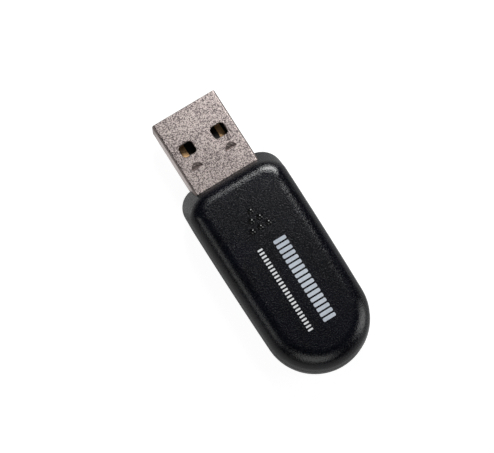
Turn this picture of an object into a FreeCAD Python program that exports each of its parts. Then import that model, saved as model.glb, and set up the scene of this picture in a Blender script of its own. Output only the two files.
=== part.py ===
import FreeCAD, Part
import math
import os

# Radio adapter for a computer port: round-ended plastic body with a metal Type-A plug.
# X runs across the body, Y along it towards the tip of the plug, Z up.
# The origin is at the middle of the base, so the body lies on z = 0.

# Housing: its width and height follow from the plug it surrounds
body_length = 37.85
shoulder_beside_plug = 3.22
body_above_plug = 2.05
wall = 1.1
widest_behind_front = 8.9
side_bow_radius = 800.0
front_corner_radius = 3.6
top_corner_radius = 4.6
front_slope_run = 3.1
side_draft_run = 0.3
top_edge_radius = 2.9
bottom_edge_radius = 2.2
reveal_height = 0.12
reveal_depth = 0.15

# Lip that locates the two halves
lip_height = 0.7
lip_thickness = 0.5
lip_clearance = 0.05

# Plug
plug_exposed = 12.2
plug_width = 12.0
plug_height = 4.5
plug_shell_length = 18.7
sheet = 0.3
plug_corner_radius = 0.4
plug_tip_bevel = 0.1
plug_opening_clearance = 0.08
punched_edge_bevel = 0.1
window_width = 2.5
window_length = 2.2
window_corner_radius = 0.55
window_from_tip = 5.3
window_spacing = 6.05
lance_width = 1.85
lance_length = 0.9
lance_depth = 0.3
lance_from_tip = 9.05
lance_spacing = 6.5
punch_mark_radius = 0.18
punch_mark_height = 0.1
punch_mark_pitch = 0.6
seam_gap = 0.06
dovetail_width = 1.5
dovetail_neck = 0.9
dovetail_length = 0.8
dovetail_from_tip = 3.2
dovetail_pitch = 5.6

# Legs of the plug shell that hold it in the board
leg_length = 1.6
leg_reach = 0.8
leg_below_board = 0.35

# Insulator and contacts
tongue_recess = 0.45
tongue_side_clearance = 0.03
socket_depth = 8.6
block_overhang = 0.6
contact_width = 1.0
contact_thickness = 0.25
contact_proud = 0.05
contact_pitches = {"power": -3.5, "data_minus": -1.0, "data_plus": 1.0, "ground": 3.5}
power_contact_recess = 1.1
data_contact_recess = 2.1
contact_nose = 0.12
tail_straight = 0.5
tail_slope_run = 0.8
solder_foot = 1.3

# Circuit board
board_thickness = 0.8
board_below_plug_middle = 1.0
board_side_clearance = 0.35
board_front_inset = 3.4
board_corner_radius = 2.9
notch_clearance = 0.12
prong_length = 3.1
slot_clearance = 0.06

# Posts that carry and clamp the board
post_radius = 1.1
pin_radius = 0.5
pin_clearance = 0.05
pin_above_board = 0.9
post_from_board_side = 1.4
front_post_from_notch = 2.0
cradle_thickness = 1.0
cradle_behind_front = 4.6

# Light guide with six domes
dome_diameter = 1.05
dome_height = 0.32
dome_clearance = 0.03
dome_pitch = 1.52
dome_row_pitch = 1.55
dome_apex_behind_front = 9.0
guide_margin = 0.7
guide_thickness = 0.9
guide_leg_radius = 1.2
led_gap = 0.3
led_behind_contacts = 0.65

# Parts on the board: length along X, length along Y, height
radio_chip_size = (5.0, 5.0, 0.9)
memory_chip_size = (4.9, 3.9, 1.4)
regulator_size = (2.9, 1.6, 1.1)
crystal_size = (2.5, 3.2, 0.75)
antenna_size = (7.0, 2.0, 1.1)
balun_size = (2.0, 1.25, 0.95)
led_size = (1.6, 0.8, 0.6)
ferrite_size = (0.8, 1.6, 0.8)
surge_protector_size = (1.6, 1.6, 0.6)
tantalum_size = (1.6, 3.2, 1.6)
capacitor_size = (0.5, 1.0, 0.5)
resistor_size = (1.0, 0.5, 0.35)
lead_thickness = 0.15
lead_width = 0.4
lead_foot = 0.55
memory_lead_pitch = 1.27
regulator_lead_pitch = 0.95
chip_stand_off = 0.1
chip_chamfer = 0.1
crystal_corner_radius = 0.3

# How the parts are set out on the board
row_front_gap = 0.3
antenna_from_board_end = 1.2
side_gap = 0.35
radio_chip_x = -0.6
crystal_from_board_side = 2.95
regulator_from_board_side = 3.35
tantalum_from_board_side = 2.35
ferrite_x = -1.4
surge_protector_x = 1.2
small_part_columns = 2
small_part_rows = 3
capacitor_pitch = (1.0, 1.5)
resistor_pitch = (1.15, 0.9)

# Places worked out from the sizes above
body_width = plug_width + 2 * shoulder_beside_plug
body_height = plug_height + 2 * body_above_plug
total_length = body_length + plug_exposed
tip_y = total_length / 2
front_y = tip_y - plug_exposed
rear_y = front_y - body_length
middle_z = body_height / 2
half_height = body_height / 2
widest_y = front_y - widest_behind_front
shell_rear_y = tip_y - plug_shell_length
block_rear_y = shell_rear_y - block_overhang
board_top = middle_z - board_below_plug_middle
board_bottom = board_top - board_thickness
notch_rear_y = block_rear_y - notch_clearance
board_front_y = notch_rear_y + prong_length
contact_top = middle_z + contact_proud
contact_bottom = contact_top - contact_thickness
inner_width = plug_width - 2 * sheet
inner_height = plug_height - 2 * sheet
lead_in_y = tip_y - tongue_recess
tail_end_y = block_rear_y - tail_straight - tail_slope_run - solder_foot
apex_y = front_y - dome_apex_behind_front
led_y = tail_end_y - led_behind_contacts
leg_y = shell_rear_y + leg_length / 2
board_half_width = body_width / 2 - wall - board_side_clearance
board_rear_y = rear_y + wall + board_side_clearance

UP = FreeCAD.Vector(0, 0, 1)
ACROSS = FreeCAD.Vector(1, 0, 0)


def vec(x, y, z):
    return FreeCAD.Vector(x, y, z)


def box(x_size, y_size, z_size, x_middle, y_middle, z_low):
    """A box centred on x and y that stands on z_low."""
    corner = vec(x_middle - x_size / 2, y_middle - y_size / 2, z_low)
    return Part.makeBox(x_size, y_size, z_size, corner)


def span(x0, x1, y0, y1, z0, z1):
    """A box between two opposite corners."""
    return Part.makeBox(x1 - x0, y1 - y0, z1 - z0, vec(x0, y0, z0))


def upright(radius, height, x, y, z_low):
    return Part.makeCylinder(radius, height, vec(x, y, z_low), UP)


def fused(shapes):
    """One solid from shapes that touch or overlap."""
    whole = shapes[0].multiFuse(shapes[1:]) if len(shapes) > 1 else shapes[0]
    return whole.removeSplitter()


def arc(centre, radius, start, end, z):
    """An arc in plan from angle start to angle end, in radians."""
    def at(angle):
        return vec(centre[0] + radius * math.cos(angle), centre[1] + radius * math.sin(angle), z)
    return Part.Arc(at(start), at((start + end) / 2), at(end)).toShape()


def outline(z, front_in=0.0, side_in=0.0, rear_in=0.0, corner=front_corner_radius):
    """The plan of the body at height z, drawn in from the full plan by the three insets.

    Bowed sides run tangent into a round rear end and into the two front corners.
    """
    half = body_width / 2 - side_in
    front = front_y - front_in
    rear = rear_y + rear_in
    bow = side_bow_radius - side_in
    bow_x = half - bow
    reach = widest_y - rear
    end_radius = (bow ** 2 - bow_x ** 2 - reach ** 2) / (2 * (bow - reach))
    end_centre = (0.0, rear + end_radius)
    end_angle = math.atan2(end_centre[1] - widest_y, -bow_x)
    corner_y = front - corner
    corner_x = bow_x + math.sqrt((bow - corner) ** 2 - (corner_y - widest_y) ** 2)
    corner_angle = math.asin((corner_y - widest_y) / (bow - corner))
    right = math.pi / 2
    edges = [
        Part.LineSegment(vec(-corner_x, front, z), vec(corner_x, front, z)).toShape(),
        arc((corner_x, corner_y), corner, right, corner_angle, z),
        arc((bow_x, widest_y), bow, corner_angle, 0, z),
        arc((bow_x, widest_y), bow, 0, end_angle, z),
        arc(end_centre, end_radius, end_angle, -right, z),
        arc(end_centre, end_radius, -right, -2 * right - end_angle, z),
        arc((-bow_x, widest_y), bow, 2 * right - end_angle, 2 * right, z),
        arc((-bow_x, widest_y), bow, 2 * right, 2 * right - corner_angle, z),
        arc((-corner_x, corner_y), corner, 2 * right - corner_angle, right, z),
    ]
    return Part.Wire(edges)


def at_height(shape, z):
    """The edges of a shape that lie wholly at height z."""
    return [e for e in shape.Edges if abs(e.BoundBox.ZMin - z) < 1e-5 and abs(e.BoundBox.ZMax - z) < 1e-5]


def level(side, height, inset, shrink=0.0):
    """The plan of a half at a height from the parting plane, parallel to the outside by inset.

    The front slopes back and the sides have draft. Shrink draws the whole plan further in.
    """
    share = height / half_height
    slope = math.atan2(front_slope_run, half_height)
    front_in = inset / math.cos(slope) + front_slope_run * share + shrink
    side_in = inset + side_draft_run * share + shrink
    corner = front_corner_radius + (top_corner_radius - front_corner_radius) * share - inset - shrink / 2
    return outline(middle_z + side * height, front_in, side_in, side_in, corner)


def half_body(side, edge_radius):
    """One half of the body, from the parting plane up (side 1) or down (side -1), rim rounded."""
    body = Part.makeLoft([level(side, 0, 0), level(side, half_height, 0)], True, True)
    return body.makeFillet(edge_radius, at_height(body, middle_z + side * half_height))


def half_hollow(side, edge_radius):
    """The hollow inside a half: straight walls, then a bevel that follows the rounded rim."""
    height = half_height - wall
    bevel = edge_radius - wall
    levels = [level(side, 0, wall), level(side, height - bevel, wall), level(side, height, wall, bevel)]
    return Part.makeLoft(levels, True, True)


def ring(z0, z1, outer_inset, inner_inset):
    """A wall that follows the plan of the body, between two insets."""
    def plug_of(inset):
        wire = outline(z0, inset, inset, inset, front_corner_radius - inset)
        return Part.Face(wire).extrude(vec(0, 0, z1 - z0))
    return plug_of(outer_inset).cut(plug_of(inner_inset))


def rounded_section(width, height, radius, y0, y1):
    """A bar along Y with a rounded rectangular section, centred on the plug."""
    bar = span(-width / 2, width / 2, y0, y1, middle_z - height / 2, middle_z + height / 2)
    long_edges = [e for e in bar.Edges if abs(e.BoundBox.YLength - (y1 - y0)) < 1e-6]
    return bar.makeFillet(radius, long_edges)


def plug_opening(clearance):
    """What is cut out of the front wall for the plug to pass."""
    return rounded_section(
        plug_width + 2 * clearance,
        plug_height + 2 * clearance,
        plug_corner_radius + clearance,
        front_y - cradle_behind_front - cradle_thickness - 1,
        front_y + 1,
    )


def rows_on_board():
    """The y of each row of parts, spread with equal gaps from the lamp back to the antenna."""
    lengths = {
        "supply": tantalum_size[1],
        "radio": radio_chip_size[1],
        "memory": memory_chip_size[1] + 2 * lead_foot,
        "balun": balun_size[1],
        "antenna": antenna_size[1],
    }
    front = led_y - led_size[1] / 2 - row_front_gap
    free = front - board_rear_y - antenna_from_board_end - sum(lengths.values())
    gap = free / (len(lengths) - 1)
    middles = {}
    for name, length in lengths.items():
        middles[name] = front - length / 2
        front -= length + gap
    return middles


def post_places():
    """Two posts beside the contacts' feet and two between the memory chip and the balun."""
    rows = rows_on_board()
    x = board_half_width - post_from_board_side
    places_y = (notch_rear_y - front_post_from_notch, (rows["memory"] + rows["balun"]) / 2)
    return [(side * x, y) for y in places_y for side in (-1, 1)]


def dome_places():
    """Rows of one, two and three domes, as a triangle that points at the plug."""
    return [
        ((place - row / 2) * dome_pitch, apex_y - row * dome_row_pitch)
        for row in range(3)
        for place in range(row + 1)
    ]


def side_lip(z0, z1, outer_inset, inner_inset):
    """The lip or its groove: it runs round the sides and the rear, and stops short of the front."""
    run = ring(z0, z1, outer_inset, inner_inset)
    keep = span(-body_width, body_width, rear_y - 1, front_y - front_corner_radius - 1, z0 - 1, z1 + 1)
    return run.common(keep)


def cradle(side):
    """A rib across the body on which the plug shell is clamped."""
    y = front_y - cradle_behind_front
    top = middle_z + side * (half_height - wall / 2)
    seat = middle_z + side * plug_height / 2
    return box(plug_width - 2, cradle_thickness, abs(top - seat), 0, y - cradle_thickness / 2, min(top, seat))


def make_top_shell():
    reveal = ring(middle_z, middle_z + reveal_height, -1, reveal_depth)
    shell = half_body(1, top_edge_radius).cut(half_hollow(1, top_edge_radius)).cut(reveal)
    groove = side_lip(middle_z - 1, middle_z + lip_height + lip_clearance, wall - lip_thickness, wall + 1)
    ceiling = body_height - wall / 2
    posts = []
    for x, y in post_places():
        post = upright(post_radius, ceiling - board_top, x, y, board_top)
        bore = upright(pin_radius + pin_clearance, pin_above_board + pin_clearance, x, y, board_top)
        posts.append(post.cut(bore))
    shell = fused([shell.cut(groove)] + posts + [cradle(1)])
    shell = shell.cut(plug_opening(plug_opening_clearance).cut(cradle(1)))
    for x, y in dome_places():
        hole = upright(dome_diameter / 2 + dome_clearance, 2 * wall, x, y, body_height - 1.5 * wall)
        shell = shell.cut(hole)
    return shell


def make_bottom_shell():
    shell = half_body(-1, bottom_edge_radius).cut(half_hollow(-1, bottom_edge_radius))
    lip = side_lip(middle_z - lip_height, middle_z + lip_height, wall - lip_thickness + lip_clearance, wall)
    floor = wall / 2
    pieces = [shell, lip]
    for x, y in post_places():
        pieces.append(upright(post_radius, board_bottom - floor, x, y, floor))
        pieces.append(upright(pin_radius, board_top + pin_above_board - floor, x, y, floor))
    shell = fused(pieces + [cradle(-1)])
    return shell.cut(plug_opening(plug_opening_clearance).cut(cradle(-1)))


def make_light_guide():
    """A flat plate under the lid, a leg over the lamp and six domes that stand through the lid."""
    ceiling = body_height - wall
    width = 2 * dome_pitch + dome_diameter + 2 * guide_margin
    margin = dome_diameter / 2 + guide_margin
    plate_front = max(apex_y + margin, led_y + guide_leg_radius)
    plate_rear = min(apex_y - 2 * dome_row_pitch - margin, led_y - guide_leg_radius)
    plate = span(-width / 2, width / 2, plate_rear, plate_front, ceiling - guide_thickness, ceiling)
    leg_low = board_top + led_size[2] + led_gap
    leg = upright(guide_leg_radius, ceiling - leg_low, 0, led_y, leg_low)
    radius = dome_diameter / 2
    crown_radius = (radius ** 2 + dome_height ** 2) / (2 * dome_height)
    domes = []
    for x, y in dome_places():
        ball = Part.makeSphere(crown_radius, vec(x, y, body_height + dome_height - crown_radius))
        stud = upright(radius, wall + dome_height, x, y, ceiling)
        domes.append(stud.common(ball.fuse(upright(radius, wall, x, y, ceiling))))
    return fused([plate, leg] + domes)


def window_cutter(x, y_high):
    bar = box(window_width, window_length, plug_height + 2, x, y_high - window_length / 2,
              middle_z - plug_height / 2 - 1)
    return bar.makeFillet(window_corner_radius, [e for e in bar.Edges if e.BoundBox.ZLength > plug_height])


def lance_plan(grow, x, z_low, height):
    """The D of a lanced tab in plan: straight towards the body, an arc towards the tip."""
    half = lance_width / 2 + grow
    straight = tip_y - lance_from_tip - lance_length
    top = straight + lance_length + grow
    ends = vec(x - half, straight, z_low), vec(x + half, straight, z_low)
    bow = Part.Arc(ends[0], vec(x, top, z_low), ends[1]).toShape()
    chord = Part.LineSegment(ends[1], ends[0]).toShape()
    return Part.Face(Part.Wire([bow, chord])).extrude(vec(0, 0, height))


def lanced_tab(x):
    """The tab itself: it hangs on its arc, slopes into the plug and carries two punch marks."""
    surface = middle_z + plug_height / 2
    tab = lance_plan(sheet / 2, x, surface - sheet, sheet)
    for side in (-1, 1):
        place = vec(x + side * punch_mark_pitch / 2, tip_y - lance_from_tip - lance_length / 2, surface)
        tab = tab.fuse(Part.makeCone(punch_mark_radius, punch_mark_radius / 2, punch_mark_height, place))
    hinge = vec(x, tip_y - lance_from_tip + sheet / 2, surface)
    tab.rotate(hinge, ACROSS, math.degrees(math.asin(lance_depth / lance_length)))
    return tab


def seam_cutter():
    """The butt seam of the folded sheet: straight runs broken by dovetail locks."""
    low = middle_z - plug_height / 2 - 1
    depth = sheet + 1.2
    points = [(0.0, tip_y + 1)]
    count = max(1, int((plug_shell_length - dovetail_from_tip) / dovetail_pitch))
    for lock in range(count):
        start = tip_y - dovetail_from_tip - lock * dovetail_pitch
        flare = (dovetail_width - dovetail_neck) / 2
        points += [
            (0.0, start),
            (dovetail_length, start + flare),
            (dovetail_length, start - dovetail_neck - flare),
            (0.0, start - dovetail_neck),
        ]
    points.append((0.0, shell_rear_y - 1))
    runs = []
    for (x0, y0), (x1, y1) in zip(points, points[1:]):
        length = math.hypot(x1 - x0, y1 - y0)
        run = span(-seam_gap / 2, length + seam_gap / 2, -seam_gap / 2, seam_gap / 2, low, low + depth)
        run.rotate(vec(0, 0, 0), UP, math.degrees(math.atan2(y1 - y0, x1 - x0)))
        run.translate(vec(x0, y0, 0))
        runs.append(run)
    return runs[0].multiFuse(runs[1:])


def shell_leg(side):
    """An ear bent out of the side wall onto the board, with a leg down through the board."""
    wall_x = side * (plug_width / 2 - sheet)
    out_x = side * (plug_width / 2 + leg_reach)
    ear = span(min(wall_x, out_x), max(wall_x, out_x), shell_rear_y, shell_rear_y + leg_length,
               board_top, board_top + sheet)
    leg_low = board_bottom - leg_below_board
    leg = box(sheet, leg_length, board_top + sheet - leg_low, out_x - side * sheet / 2, leg_y, leg_low)
    return ear, leg


def punched_edges(sleeve, z):
    """The edges at height z round the windows and the lanced tabs."""
    y_low = tip_y - lance_from_tip - lance_length - 0.1
    y_high = tip_y - window_from_tip + 0.1
    return [e for e in at_height(sleeve, z) if y_low < e.BoundBox.YMin and e.BoundBox.YMax < y_high]


def make_plug_shell():
    outer = rounded_section(plug_width, plug_height, plug_corner_radius, shell_rear_y, tip_y)
    outer = outer.makeChamfer(plug_tip_bevel, [e for e in outer.Edges if e.BoundBox.YMin > tip_y - 1e-5])
    inner_radius = plug_corner_radius - sheet
    inner = rounded_section(inner_width, inner_height, inner_radius, shell_rear_y - 1, tip_y + 1)
    sleeve = outer.cut(inner)
    window_y = tip_y - window_from_tip
    surface = middle_z + plug_height / 2
    for side in (-1, 1):
        sleeve = sleeve.cut(window_cutter(side * window_spacing / 2, window_y))
        sleeve = sleeve.cut(lance_plan(0.0, side * lance_spacing / 2, surface - sheet - 0.1, sheet + 0.2))
    for z in (surface, surface - plug_height):
        sleeve = sleeve.makeChamfer(punched_edge_bevel, punched_edges(sleeve, z))
    sleeve = sleeve.cut(seam_cutter())
    tabs = [lanced_tab(side * lance_spacing / 2) for side in (-1, 1)]
    legs = [piece for side in (-1, 1) for piece in shell_leg(side)]
    return fused([sleeve] + tabs + legs)


def contact_profile(front, grow):
    """Side view of one contact: straight in the insulator, then down to its solder foot."""
    bend_y = block_rear_y - tail_straight
    foot_y = bend_y - tail_slope_run
    low, high = contact_bottom, contact_top
    foot_top = board_top + contact_thickness
    points = [
        (front, low), (front, high - contact_nose), (front - contact_nose, high), (bend_y, high),
        (foot_y, foot_top), (tail_end_y, foot_top), (tail_end_y, board_top), (foot_y, board_top),
        (bend_y, low), (front, low),
    ]
    corners = [vec(-grow, y, z) for y, z in points]
    return Part.Face(Part.makePolygon(corners))


def make_contact(x, recess):
    face = contact_profile(lead_in_y - recess, contact_width / 2)
    strip = face.extrude(vec(contact_width, 0, 0))
    strip.translate(vec(x, 0, 0))
    return strip


def contact_front(name):
    recess = power_contact_recess if name in ("power", "ground") else data_contact_recess
    return lead_in_y - recess


def make_insulator():
    """The tongue, which fills the plug up to its middle, and the full-height block behind it."""
    width = inner_width - 2 * tongue_side_clearance
    floor = middle_z - inner_height / 2
    tongue = span(-width / 2, width / 2, block_rear_y, lead_in_y, floor, middle_z)
    block = span(-width / 2, width / 2, block_rear_y, tip_y - socket_depth, floor, floor + inner_height)
    body = fused([tongue, block])
    inner_radius = plug_corner_radius - sheet
    long_low = [
        e for e in body.Edges
        if abs(abs(e.BoundBox.XMin) - width / 2) < 1e-6 and e.BoundBox.XLength < 1e-6
        and e.BoundBox.ZLength < 1e-6 and e.BoundBox.YLength > 1
        and min(abs(e.BoundBox.ZMin - floor), abs(e.BoundBox.ZMin - floor - inner_height)) < 1e-6
    ]
    body = body.makeFillet(inner_radius, long_low)
    for name, x in contact_pitches.items():
        slot = span(x - contact_width / 2, x + contact_width / 2, block_rear_y - 1, contact_front(name),
                    contact_bottom, contact_top)
        body = body.cut(slot)
    for side in (-1, 1):
        pocket = box(lance_width + 4 * sheet, lance_length + 2 * sheet, lance_depth + sheet + 0.1,
                     side * lance_spacing / 2, tip_y - lance_from_tip - lance_length / 2,
                     middle_z + inner_height / 2 - lance_depth - 0.1)
        body = body.cut(pocket)
    return body


def make_board():
    inset = wall + board_side_clearance
    plan = Part.Face(outline(board_bottom, board_front_inset, inset, inset, board_corner_radius))
    board = plan.extrude(vec(0, 0, board_thickness))
    board = board.common(span(-body_width, body_width, rear_y, board_front_y, 0, body_height))
    notch_half = plug_width / 2 + notch_clearance
    board = board.cut(span(-notch_half, notch_half, notch_rear_y, board_front_y + 1, 0, body_height))
    leg_x = plug_width / 2 + leg_reach - sheet / 2
    for side in (-1, 1):
        board = board.cut(box(sheet + 2 * slot_clearance, leg_length + 2 * slot_clearance, body_height,
                              side * leg_x, leg_y, 0))
    for x, y in post_places():
        board = board.cut(upright(pin_radius + pin_clearance, body_height, x, y, 0))
    return board


def on_board(size, x, y):
    """A block of the given size, standing on the board."""
    return box(size[0], size[1], size[2], x, y, board_top)


def gull_leads(size, pitch, count_rear, count_front, x, y):
    """Bent leads along the two ends of a chip, each from its side down to a flat foot."""
    leads = []
    middle = board_top + (size[2] + chip_stand_off) / 2
    for side, count in ((-1, count_rear), (1, count_front)):
        edge = y + side * size[1] / 2
        out = edge + side * lead_foot
        for place in range(count):
            lead_x = x + (place - (count - 1) / 2) * pitch * (2 if count < 3 else 1)
            knee = edge + side * lead_thickness * 1.5
            arm = span(lead_x - lead_width / 2, lead_x + lead_width / 2, min(edge, knee), max(edge, knee),
                       middle - lead_thickness, middle)
            drop = box(lead_width, lead_thickness, middle - board_top, lead_x,
                       knee - side * lead_thickness / 2, board_top)
            foot = span(lead_x - lead_width / 2, lead_x + lead_width / 2,
                        min(knee - side * lead_thickness, out), max(knee - side * lead_thickness, out),
                        board_top, board_top + lead_thickness)
            leads.append(fused([arm, drop, foot]))
    return Part.makeCompound(leads)


def chip_body(size, x, y):
    """A moulded chip body that stands just clear of the board on its leads."""
    body = box(size[0], size[1], size[2] - chip_stand_off, x, y, board_top + chip_stand_off)
    return body.makeChamfer(chip_chamfer, at_height(body, board_top + size[2]))


def array_on_board(size, pitch, first_x, step, middle_y):
    """Columns of like small parts as separate solids, from first_x outward (step 1 or -1)."""
    small_parts = []
    for column in range(small_part_columns):
        for row in range(small_part_rows):
            x = first_x + step * column * pitch[0]
            y = middle_y + (row - (small_part_rows - 1) / 2) * pitch[1]
            small_parts.append(on_board(size, x, y))
    return Part.makeCompound(small_parts)


def make_board_parts():
    """The parts on the board, from the contacts' feet back to the antenna at the rear."""
    y = rows_on_board()
    regulator_x = regulator_from_board_side - board_half_width
    radio = on_board(radio_chip_size, radio_chip_x, y["radio"])
    radio = radio.makeChamfer(chip_chamfer, at_height(radio, board_top + radio_chip_size[2]))
    crystal = on_board(crystal_size, board_half_width - crystal_from_board_side, y["radio"])
    corners = [e for e in crystal.Edges if e.BoundBox.ZLength > crystal_size[2] / 2]
    crystal = crystal.makeFillet(crystal_corner_radius, corners)
    tantalum_x = board_half_width - tantalum_from_board_side
    capacitor_x = radio_chip_x - radio_chip_size[0] / 2 - side_gap - capacitor_size[0] / 2
    resistor_x = memory_chip_size[0] / 2 + side_gap + resistor_size[0] / 2
    return {
        "radio_chip": radio,
        "memory_chip": chip_body(memory_chip_size, 0, y["memory"]),
        "memory_chip_leads": gull_leads(memory_chip_size, memory_lead_pitch, 4, 4, 0, y["memory"]),
        "voltage_regulator": chip_body(regulator_size, regulator_x, y["supply"]),
        "regulator_leads": gull_leads(regulator_size, regulator_lead_pitch, 3, 2, regulator_x, y["supply"]),
        "crystal": crystal,
        "chip_antenna": on_board(antenna_size, 0, y["antenna"]),
        "balun_filter": on_board(balun_size, 0, y["balun"]),
        "status_led": on_board(led_size, 0, led_y),
        "ferrite_bead": on_board(ferrite_size, ferrite_x, y["supply"]),
        "surge_protector": on_board(surge_protector_size, surge_protector_x, y["supply"]),
        "tantalum_capacitor": on_board(tantalum_size, tantalum_x, y["supply"]),
        "capacitors": array_on_board(capacitor_size, capacitor_pitch, capacitor_x, -1, y["radio"]),
        "resistors": array_on_board(resistor_size, resistor_pitch, resistor_x, 1, y["memory"]),
    }


def make_parts():
    parts = {
        "top_shell": make_top_shell(),
        "bottom_shell": make_bottom_shell(),
        "light_guide": make_light_guide(),
        "plug_shell": make_plug_shell(),
        "plug_insulator": make_insulator(),
        "circuit_board": make_board(),
    }
    for name, x in contact_pitches.items():
        recess = lead_in_y - contact_front(name)
        parts["contact_" + name] = make_contact(x, recess)
    parts.update(make_board_parts())
    return parts


os.makedirs("parts", exist_ok=True)
for node, shape in make_parts().items():
    shape.exportStep("parts/" + node + ".step")
    print(node, "solids", len(shape.Solids), "valid", shape.isValid(), "volume", round(shape.Volume, 3))
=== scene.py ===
# %% [markdown]
# # A small radio adapter for a computer port
#
# The object is about as long as a thumb: a metal Type-A plug stands out of a black plastic
# body with a round end. The solid pieces come ready made, at their real size, from the frame.
# This lesson gives them their finishes, adds two rows of print on the lid, and sets up the
# studio. Everything is in metres, so sizes that are easier to read in millimetres are
# multiplied by MM.

# %% Load the frame
import math
import bpy
from mathutils import Matrix, Vector


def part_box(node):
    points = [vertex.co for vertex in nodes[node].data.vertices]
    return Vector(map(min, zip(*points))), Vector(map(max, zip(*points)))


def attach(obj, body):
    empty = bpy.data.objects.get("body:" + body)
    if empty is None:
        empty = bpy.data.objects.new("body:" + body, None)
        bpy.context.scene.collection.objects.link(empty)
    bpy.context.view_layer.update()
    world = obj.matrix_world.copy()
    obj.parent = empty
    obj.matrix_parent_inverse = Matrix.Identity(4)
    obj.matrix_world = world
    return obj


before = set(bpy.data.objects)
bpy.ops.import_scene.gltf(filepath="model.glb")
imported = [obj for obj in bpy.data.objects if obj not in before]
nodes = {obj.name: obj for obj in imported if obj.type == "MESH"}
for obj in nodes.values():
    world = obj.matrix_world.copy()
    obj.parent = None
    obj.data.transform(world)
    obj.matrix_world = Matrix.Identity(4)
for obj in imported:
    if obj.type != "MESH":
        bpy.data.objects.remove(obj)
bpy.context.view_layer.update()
MM = 0.001
print("pieces in the frame:", len(nodes))


# %% [markdown]
# ## Measures taken from the frame
#
# The lid's flat top, the plug and the body are needed again and again, so their places are
# read once from the boxes of the pieces. A change of size in the frame then moves the print,
# the camera and the lamps with it.

# %% Places on the object
lid_low, lid_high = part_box("top_shell")
plug_low, plug_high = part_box("plug_shell")
lid_top = lid_high.z
body_front = lid_high.y
plug_tip = plug_high.y
plug_middle = (plug_low.z + plug_high.z) / 2
centre = Vector((0.0, (lid_low.y + plug_tip) / 2, plug_middle))
print("lid top at", round(lid_top / MM, 2), "mm, plug tip at", round(plug_tip / MM, 2), "mm")


# %% [markdown]
# ## Two small helpers for materials
#
# Colours are written as the hex values that a paint chart would give, and one function turns
# them into the linear values that the renderer works in. A second helper adds a node, sets
# its inputs and links it, so that a material reads as a short list.

# %% Colour and node helpers
def colour(hex_code):
    """A hex colour as linear red, green, blue and alpha."""
    def linear(part):
        value = int(part, 16) / 255
        return value / 12.92 if value <= 0.04045 else ((value + 0.055) / 1.055) ** 2.4
    return tuple(linear(hex_code[i:i + 2]) for i in (1, 3, 5)) + (1.0,)


def add_node(tree, kind, settings=None, inputs=None):
    """Adds one node; an input is given a value, or the socket that feeds it."""
    node = tree.nodes.new(kind)
    for name, value in (settings or {}).items():
        setattr(node, name, value)
    for name, value in (inputs or {}).items():
        if isinstance(value, bpy.types.NodeSocket):
            tree.links.new(value, node.inputs[name])
        else:
            node.inputs[name].default_value = value
    return node


# %% [markdown]
# ## One way to describe a finish
#
# Most finishes here are the same idea with other numbers: a base colour that wanders a little,
# a grain of a known size in millimetres, and a gloss that follows the grain. The pattern reads
# Object coordinates, so it stays fixed to the piece. Noise with a scale of one over the grain
# size has lumps about that large. Sharp steps of gloss between the grains are what makes a
# blasted or eroded surface sparkle, more than its relief does.

# %% A finish with grain
cloud_size_mm = 6.0
tint_spread = 0.2
gloss_spread = 0.1


def grained(name, dark, light, grain_mm, relief_mm, rough,
            metallic=0.0, ior=1.5, speckle=0.6, clouds=1.0):
    """A procedural material: grain for relief and gloss, wider clouds for the colour.

    Speckle and clouds are how much the grain and the clouds move the colour.
    """
    material = bpy.data.materials.new(name)
    material.use_nodes = True
    tree = material.node_tree
    shader = tree.nodes["Principled BSDF"]
    place = add_node(tree, "ShaderNodeTexCoord").outputs["Object"]
    grain = add_node(tree, "ShaderNodeTexNoise", None, {
        "Vector": place, "Scale": 1 / (grain_mm * MM), "Detail": 3.0, "Roughness": 0.55})
    wide = add_node(tree, "ShaderNodeTexNoise", None, {
        "Vector": place, "Scale": 1 / (cloud_size_mm * MM), "Detail": 2.0, "Roughness": 0.5})
    cloud = add_node(tree, "ShaderNodeMath", {"operation": "MULTIPLY"}, {
        0: wide.outputs["Fac"], 1: clouds})
    both = add_node(tree, "ShaderNodeMath", {"operation": "MULTIPLY_ADD"}, {
        0: grain.outputs["Fac"], 1: speckle, 2: cloud.outputs[0]})
    middle = (speckle + clouds) / 2
    tint = add_node(tree, "ShaderNodeMapRange", None, {
        "Value": both.outputs[0], "From Min": middle - tint_spread,
        "From Max": middle + tint_spread})
    mix = add_node(tree, "ShaderNodeMix", {"data_type": "RGBA"}, {
        "Factor": tint.outputs["Result"], "A": colour(dark), "B": colour(light)})
    gloss = add_node(tree, "ShaderNodeMapRange", None, {
        "Value": grain.outputs["Fac"], "From Min": 0.5 - gloss_spread,
        "From Max": 0.5 + gloss_spread, "To Min": rough[0], "To Max": rough[1]})
    bump = add_node(tree, "ShaderNodeBump", None, {
        "Strength": 1.0, "Distance": relief_mm * MM, "Height": grain.outputs["Fac"]})
    tree.links.new(mix.outputs["Result"], shader.inputs["Base Color"])
    tree.links.new(gloss.outputs["Result"], shader.inputs["Roughness"])
    tree.links.new(bump.outputs["Normal"], shader.inputs["Normal"])
    shader.inputs["Metallic"].default_value = metallic
    if metallic < 0.5:
        shader.inputs["IOR"].default_value = ior
    return material


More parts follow.
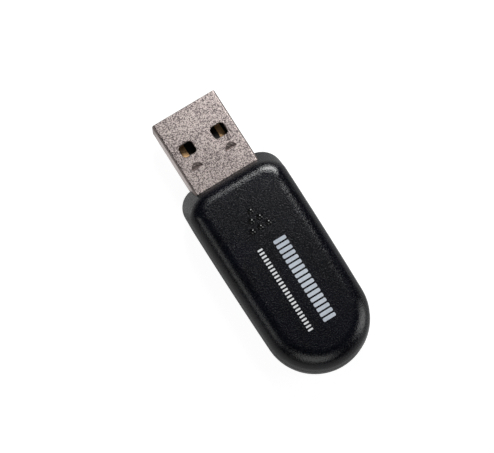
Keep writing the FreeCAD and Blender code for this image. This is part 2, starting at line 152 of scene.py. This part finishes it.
# %% [markdown]
# ## The finishes of this object
#
# - The body is black ABS from a spark-eroded mould: the eye sees a soft sheen with a fine sandy
#   sparkle where the light grazes it. The real grain is about 0.1 mm and is drawn at 0.24 mm,
#   so that it shows. ABS has an index of refraction of 1.54.
# - The domes are smoked polycarbonate, polished: nearly black, with sharp small highlights.
# - The plug is sheet steel with satin nickel plating: a warm grey with a fine speckle, drawn
#   at 0.17 mm. Where the steel was cut or pressed in, its colour is painted darker: partly the
#   thinner, duller plating of cut steel, partly painted shade in the recesses.
# - The contacts are copper alloy with a thin coat of gold, dulled by many insertions.
# - Inside are solder mask, epoxy, tin and fired ceramics, each with its own grain.
#
# The cut-steel colour and its painted shade need to know how deep a point lies under the skin
# of the plug. The plug is a box, so its middle and its half sizes are enough for that.

# %% Cut steel and painted recess shade
def cut_steel_and_painted_shade(material, low, high, skin_mm, wall_mm, shade):
    """A darker colour for what lies deeper than the skin and between the side walls: partly cut
    steel, partly painted shade.
    """
    tree = material.node_tree
    shader = tree.nodes["Principled BSDF"]
    place = add_node(tree, "ShaderNodeTexCoord").outputs["Object"]
    middle = (low + high) / 2
    inward = add_node(tree, "ShaderNodeVectorMath", {"operation": "SUBTRACT"},
                      {0: place, 1: tuple(middle)})
    inward = add_node(tree, "ShaderNodeVectorMath", {"operation": "ABSOLUTE"},
                      {0: inward.outputs["Vector"]})
    axes = add_node(tree, "ShaderNodeSeparateXYZ", None, {"Vector": inward.outputs["Vector"]})
    half_width = (high.x - low.x) / 2
    half_height = (high.z - low.z) / 2
    deep = add_node(tree, "ShaderNodeMapRange", None, {
        "Value": axes.outputs["Z"], "From Min": half_height - 2 * skin_mm * MM,
        "From Max": half_height - skin_mm * MM, "To Min": 1.0, "To Max": 0.0})
    between_walls = add_node(tree, "ShaderNodeMath", {"operation": "LESS_THAN"}, {
        0: axes.outputs["X"], 1: half_width - wall_mm * MM})
    cut_and_shade_share = add_node(tree, "ShaderNodeMath", {"operation": "MULTIPLY"}, {
        0: deep.outputs["Result"], 1: between_walls.outputs[0]})
    skin_colour = shader.inputs["Base Color"].links[0].from_socket
    # The deep steel is painted darker: partly the duller cut steel, partly painted shade in the
    # recesses.
    mix = add_node(tree, "ShaderNodeMix", {"data_type": "RGBA"}, {
        "Factor": cut_and_shade_share.outputs[0], "A": skin_colour, "B": colour(shade)})
    tree.links.new(mix.outputs["Result"], shader.inputs["Base Color"])


# %% Make the finishes
spark_eroded_abs = grained(
    "spark_eroded_black_abs", "#020309", "#080a14", 0.24, 0.045, (0.12, 0.3), ior=1.54)
smoked_polycarbonate = grained(
    "polished_smoked_polycarbonate", "#08080a", "#0e0e10", 0.5, 0.0005, (0.05, 0.09), ior=1.58)
nickel_plated_steel = grained(
    "satin_nickel_plated_steel", "#61585a", "#c9bdb8", 0.17, 0.014, (0.33, 0.5),
    metallic=1.0, speckle=2.3, clouds=0.35)
# Cut and recessed steel gets a darker colour: partly duller cut steel, partly painted shade in the
# recesses.
cut_steel_and_painted_shade(nickel_plated_steel, plug_low, plug_high, skin_mm=0.02, wall_mm=0.6, shade="#a89c98")
gold_plate = grained("gold_plated_contact", "#f0c08c", "#ffdcac", 0.2, 0.004, (0.5, 0.6),
                     metallic=1.0)
filled_plastic = grained("black_glass_filled_nylon", "#0b0b0b", "#151515", 0.2, 0.004, (0.45, 0.6))
solder_mask = grained("green_solder_mask", "#0c3a22", "#14502f", 0.5, 0.006, (0.2, 0.35))
chip_epoxy = grained("moulded_chip_epoxy", "#1b1b1d", "#252527", 0.15, 0.003, (0.5, 0.65))
tin_plate = grained("tin_plated_lead", "#b4b3ae", "#c9c8c3", 0.2, 0.002, (0.25, 0.4), metallic=1.0)
crystal_lid = grained("nickel_crystal_lid", "#bdb8aa", "#cfcabd", 0.3, 0.002, (0.2, 0.3),
                      metallic=1.0)
antenna_ceramic = grained("fired_white_ceramic", "#d5d9dd", "#e6e9ec", 0.2, 0.002, (0.3, 0.4))
filter_ceramic = grained("glazed_blue_grey_ceramic", "#6f7b88", "#8b96a2", 0.2, 0.002, (0.2, 0.3))
led_resin = grained("clear_cast_resin", "#cfd6cf", "#e2e8e2", 0.3, 0.001, (0.08, 0.15))
ferrite_black = grained("sintered_ferrite", "#222325", "#303134", 0.15, 0.004, (0.4, 0.55))
tantalum_resin = grained("moulded_yellow_resin", "#c98b1e", "#d99f33", 0.3, 0.003, (0.4, 0.5))
capacitor_ceramic = grained("fired_tan_ceramic", "#8d7150", "#a58763", 0.15, 0.003, (0.4, 0.55))
resistor_glaze = grained("black_resistor_glaze", "#131315", "#1e1e21", 0.15, 0.002, (0.25, 0.4))
print("finishes made:", len(bpy.data.materials))


# %% [markdown]
# ## Put the finishes on the ready-made pieces
#
# A piece from the frame keeps its mesh, and only its material slot changes.

# %% Dress the frame's pieces
finish_of = {
    "top_shell": spark_eroded_abs,
    "bottom_shell": spark_eroded_abs,
    "light_guide": smoked_polycarbonate,
    "plug_shell": nickel_plated_steel,
    "plug_insulator": filled_plastic,
    "contact_power": gold_plate,
    "contact_data_minus": gold_plate,
    "contact_data_plus": gold_plate,
    "contact_ground": gold_plate,
    "circuit_board": solder_mask,
    "radio_chip": chip_epoxy,
    "memory_chip": chip_epoxy,
    "memory_chip_leads": tin_plate,
    "voltage_regulator": chip_epoxy,
    "regulator_leads": tin_plate,
    "crystal": crystal_lid,
    "chip_antenna": antenna_ceramic,
    "balun_filter": filter_ceramic,
    "status_led": led_resin,
    "ferrite_bead": ferrite_black,
    "surge_protector": chip_epoxy,
    "tantalum_capacitor": tantalum_resin,
    "capacitors": capacitor_ceramic,
    "resistors": resistor_glaze,
}
for node_name, finish in finish_of.items():
    node_object = nodes[node_name]
    node_object.data.materials.clear()
    node_object.data.materials.append(finish)
print("pieces dressed:", len(finish_of))


# %% [markdown]
# ## The print on the lid
#
# A pad printer lays thin ink on the lid. Its two lines are kept here as plain rows: a row of
# silver-grey bars and a finer row of white dashes. A repeated form is work for Geometry Nodes:
# one rounded plate is drawn, given its thickness, closed underneath and set out along a line.
# The tree has named inputs, so both rows come from it.

# %% A tree that sets out a row of plates
corner_points = 5
weld_distance = 0.001 * MM


def make_row_tree():
    """Geometry Nodes that repeat one thin rounded plate along the body."""
    tree = bpy.data.node_groups.new("row_of_plates", "GeometryNodeTree")
    for socket, kind in (("Start", "NodeSocketVector"), ("Count", "NodeSocketInt"),
                         ("Pitch", "NodeSocketVector"), ("Width", "NodeSocketFloat"),
                         ("Length", "NodeSocketFloat"), ("Corner", "NodeSocketFloat"),
                         ("Thickness", "NodeSocketFloat"), ("Finish", "NodeSocketMaterial")):
        tree.interface.new_socket(name=socket, in_out="INPUT", socket_type=kind)
    tree.interface.new_socket(name="Geometry", in_out="OUTPUT", socket_type="NodeSocketGeometry")
    given = add_node(tree, "NodeGroupInput").outputs
    outline = add_node(tree, "GeometryNodeCurvePrimitiveQuadrilateral", None, {
        "Width": given["Width"], "Height": given["Length"]})
    rounded = add_node(tree, "GeometryNodeFilletCurve", {"mode": "POLY"}, {
        "Curve": outline.outputs["Curve"], "Count": corner_points,
        "Radius": given["Corner"]})
    plate = add_node(tree, "GeometryNodeFillCurve", {"mode": "NGONS"},
                     {"Curve": rounded.outputs["Curve"]})
    raised = add_node(tree, "GeometryNodeExtrudeMesh", {"mode": "FACES"}, {
        "Mesh": plate.outputs["Mesh"], "Offset Scale": given["Thickness"]})
    underside = add_node(tree, "GeometryNodeFlipFaces", None, {"Mesh": plate.outputs["Mesh"]})
    both = add_node(tree, "GeometryNodeJoinGeometry", None, {"Geometry": raised.outputs["Mesh"]})
    tree.links.new(underside.outputs["Mesh"], both.inputs["Geometry"])
    closed = add_node(tree, "GeometryNodeMergeByDistance", None, {
        "Geometry": both.outputs["Geometry"], "Distance": weld_distance})
    line = add_node(tree, "GeometryNodeMeshLine", None, {
        "Count": given["Count"], "Start Location": given["Start"], "Offset": given["Pitch"]})
    row = add_node(tree, "GeometryNodeInstanceOnPoints", None, {
        "Points": line.outputs["Mesh"], "Instance": closed.outputs["Geometry"]})
    real = add_node(tree, "GeometryNodeRealizeInstances", None,
                    {"Geometry": row.outputs["Instances"]})
    inked = add_node(tree, "GeometryNodeSetMaterial", None, {
        "Geometry": real.outputs["Geometry"], "Material": given["Finish"]})
    add_node(tree, "NodeGroupOutput", None, {"Geometry": inked.outputs["Geometry"]})
    return tree


row_tree = make_row_tree()
print("inputs of the row:", [item.name for item in row_tree.interface.items_tree])


# %% [markdown]
# ## Lay the two rows of ink
#
# The rows are evaluated once and kept as plain meshes, so nothing is left to compute later.
# The ink is 0.012 mm thick: enough to catch the light at its edge and never flicker.

# %% Ink rows
ink_thickness = 0.012 * MM
corner_share = 0.3
print_front = body_front - 15.1 * MM
print_rear = body_front - 30.8 * MM
silver_ink = grained("silver_grey_pad_ink", "#bcc4cf", "#d3dae4", 0.3, 0.003, (0.4, 0.55))
white_ink = grained("white_pad_ink", "#e6e9ec", "#f8f9fa", 0.3, 0.003, (0.45, 0.6))


def ink_row(name, x, count, width, cover, finish):
    """A row of plates as long as the print; cover is the inked share of each pitch."""
    pitch = (print_front - print_rear) / (count - 1 + cover)
    length = pitch * cover
    values = {
        "Start": (x, print_front - length / 2, lid_top), "Pitch": (0.0, -pitch, 0.0),
        "Count": count, "Width": width, "Length": length, "Thickness": ink_thickness,
        "Corner": corner_share * min(width, length), "Finish": finish,
    }
    maker = bpy.data.objects.new(name + "_maker", bpy.data.meshes.new(name + "_maker"))
    bpy.context.scene.collection.objects.link(maker)
    modifier = maker.modifiers.new("row", "NODES")
    modifier.node_group = row_tree
    for item in row_tree.interface.items_tree:
        if item.in_out == "INPUT":
            modifier[item.identifier] = values[item.name]
    seen = maker.evaluated_get(bpy.context.evaluated_depsgraph_get())
    mesh = bpy.data.meshes.new_from_object(seen)
    mesh.name = name
    bpy.data.objects.remove(maker)
    row = bpy.data.objects.new(name, mesh)
    bpy.context.scene.collection.objects.link(row)
    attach(row, "root")


ink_row("printed_bars", x=1.52 * MM, count=17, width=2.3 * MM, cover=0.68, finish=silver_ink)
ink_row("printed_dashes", x=-2.15 * MM, count=25, width=0.9 * MM, cover=0.5, finish=white_ink)
print("ink rows laid on the lid")


# %% [markdown]
# ## The table top
#
# The object lies on a white surface. It has to look white to the camera and in reflections,
# and still carry the soft shadow, so it glows for camera rays and glows less for glossy and
# transmission rays. For the lamps it is plain grey paint, which keeps the light that bounces
# up under the body low. Next to the plug the mirrored glow is stronger, as on a table with a
# pool of light there: the plug's side wall shows that pool.

# %% Table
floor_half = 2.0
direct_glow = 0.93
mirrored_glow = 0.17
pool_glow = 0.75
pool_centre = (plug_low.x - 2 * MM, (body_front + plug_tip) / 2, 0.0)
pool_inside = 4 * MM
pool_outside = 9 * MM
floor_mesh = bpy.data.meshes.new("table_top")
floor_mesh.from_pydata(
    [(x * floor_half, y * floor_half, 0.0) for x, y in ((-1, -1), (1, -1), (1, 1), (-1, 1))],
    [], [(0, 1, 2, 3)])
table_top = bpy.data.objects.new("table_top", floor_mesh)
bpy.context.scene.collection.objects.link(table_top)

white_table = bpy.data.materials.new("white_table")
white_table.use_nodes = True
table_tree = white_table.node_tree
table_shader = table_tree.nodes["Principled BSDF"]
table_shader.inputs["Base Color"].default_value = colour("#909090")
table_shader.inputs["Roughness"].default_value = 0.9
table_shader.inputs["Specular IOR Level"].default_value = 0.0
rays = add_node(table_tree, "ShaderNodeLightPath")
mirrored = add_node(table_tree, "ShaderNodeMath", {"operation": "MAXIMUM"}, {
    0: rays.outputs["Is Glossy Ray"], 1: rays.outputs["Is Transmission Ray"]})
spot = add_node(table_tree, "ShaderNodeTexCoord").outputs["Object"]
from_pool = add_node(table_tree, "ShaderNodeVectorMath", {"operation": "DISTANCE"}, {
    0: spot, 1: pool_centre})
pool = add_node(table_tree, "ShaderNodeMapRange", {"interpolation_type": "SMOOTHSTEP"}, {
    "Value": from_pool.outputs["Value"], "From Min": pool_inside, "From Max": pool_outside,
    "To Min": mirrored_glow + pool_glow, "To Max": mirrored_glow})
mirrored_light = add_node(table_tree, "ShaderNodeMath", {"operation": "MULTIPLY"}, {
    0: mirrored.outputs[0], 1: pool.outputs["Result"]})
glow = add_node(table_tree, "ShaderNodeMath", {"operation": "MULTIPLY_ADD"}, {
    0: rays.outputs["Is Camera Ray"], 1: direct_glow, 2: mirrored_light.outputs[0]})
table_shader.inputs["Emission Color"].default_value = (1.0, 1.0, 1.0, 1.0)
table_tree.links.new(glow.outputs[0], table_shader.inputs["Emission Strength"])
floor_mesh.materials.append(white_table)


# %% [markdown]
# ## The camera
#
# The photo looks down on the lid from far away, tilted a little towards its lower edge, with
# the plug pointing up and left. The camera's three axes are built from the tilt and the turn,
# and the distance and lens follow from the scale of the photo in pixels per millimetre.

# %% Camera
photo_width = 494
photo_scale = 6.1
camera_distance = 0.45
tilt = math.radians(13.5)
turn = math.radians(31.8)
sensor_width = 36.0
aim_side = -1.31 * MM
aim_behind_front = 9.88 * MM

flat_up = Vector((math.sin(turn), math.cos(turn), 0.0))
right_axis = Vector((math.cos(turn), -math.sin(turn), 0.0))
up_axis = flat_up * math.cos(tilt) + Vector((0, 0, 1)) * math.sin(tilt)
back_axis = right_axis.cross(up_axis)
aim = Vector((aim_side, body_front - aim_behind_front, plug_middle))

camera_data = bpy.data.cameras.new("camera")
camera = bpy.data.objects.new("camera", camera_data)
bpy.context.scene.collection.objects.link(camera)
rotation = Matrix((right_axis, up_axis, back_axis)).transposed()
camera.matrix_world = Matrix.Translation(aim + back_axis * camera_distance) @ rotation.to_4x4()
camera_data.sensor_width = sensor_width
camera_data.lens = sensor_width * camera_distance / (photo_width / photo_scale * MM)
camera_data.clip_start = 0.01
bpy.context.scene.camera = camera
print("lens", round(camera_data.lens, 1), "mm at", camera_distance, "m")


# %% [markdown]
# ## The lamps
#
# Three small softboxes stand close to the object, past the top of the picture. The flat plug
# sees them just beside its mirror direction, so it is a soft grey that fades towards the body,
# and the rounded front rim of the lid turns through that direction and gets its bright line.
# Larger ones further off draw the thin lines along the lid's two long edges, and one high
# over the round end is mirrored in the lid and the plug when they are seen from the plug's
# side. The space straight above stays dark, which is why the lid reads as black. Each lamp
# is placed by how far right, up and back it is as the camera sees it.

# %% Softboxes
def softbox(name, right, up, back, width, height, watts):
    """A rectangular lamp that faces the middle of the object."""
    lamp_data = bpy.data.lights.new(name, "AREA")
    lamp_data.shape = "RECTANGLE"
    lamp_data.size = width
    lamp_data.size_y = height
    lamp_data.energy = watts
    lamp = bpy.data.objects.new(name, lamp_data)
    bpy.context.scene.collection.objects.link(lamp)
    lamp.location = centre + right_axis * right + up_axis * up + back_axis * back
    lamp.rotation_euler = (centre - lamp.location).to_track_quat("-Z", "Y").to_euler()


#        name            right     up   back  width height  watts
for lamp in (
        ("near_softbox",  0.012,  0.15, 0.10, 0.08, 0.05, 0.17),
        ("low_softbox",   0.02,   0.16, 0.06, 0.08, 0.05, 0.09),
        ("high_softbox",  0.02,   0.10, 0.14, 0.06, 0.06, 0.004),
        ("left_softbox", -0.45,  -0.10, 0.30, 0.20, 0.20, 0.15),
        ("right_softbox", 0.50,   0.05, 0.12, 0.25, 0.50, 1.0),
        ("rear_softbox",  0.0,   -0.42, 0.45, 0.50, 0.40, 0.8)):
    softbox(*lamp)

world_glow = 0.03
world = bpy.data.worlds.new("studio")
bpy.context.scene.world = world
world.use_nodes = True
background = world.node_tree.nodes["Background"]
background.inputs["Color"].default_value = (1.0, 1.0, 1.0, 1.0)
background.inputs["Strength"].default_value = world_glow
bpy.context.scene.view_settings.view_transform = "Standard"
print("lamps placed")
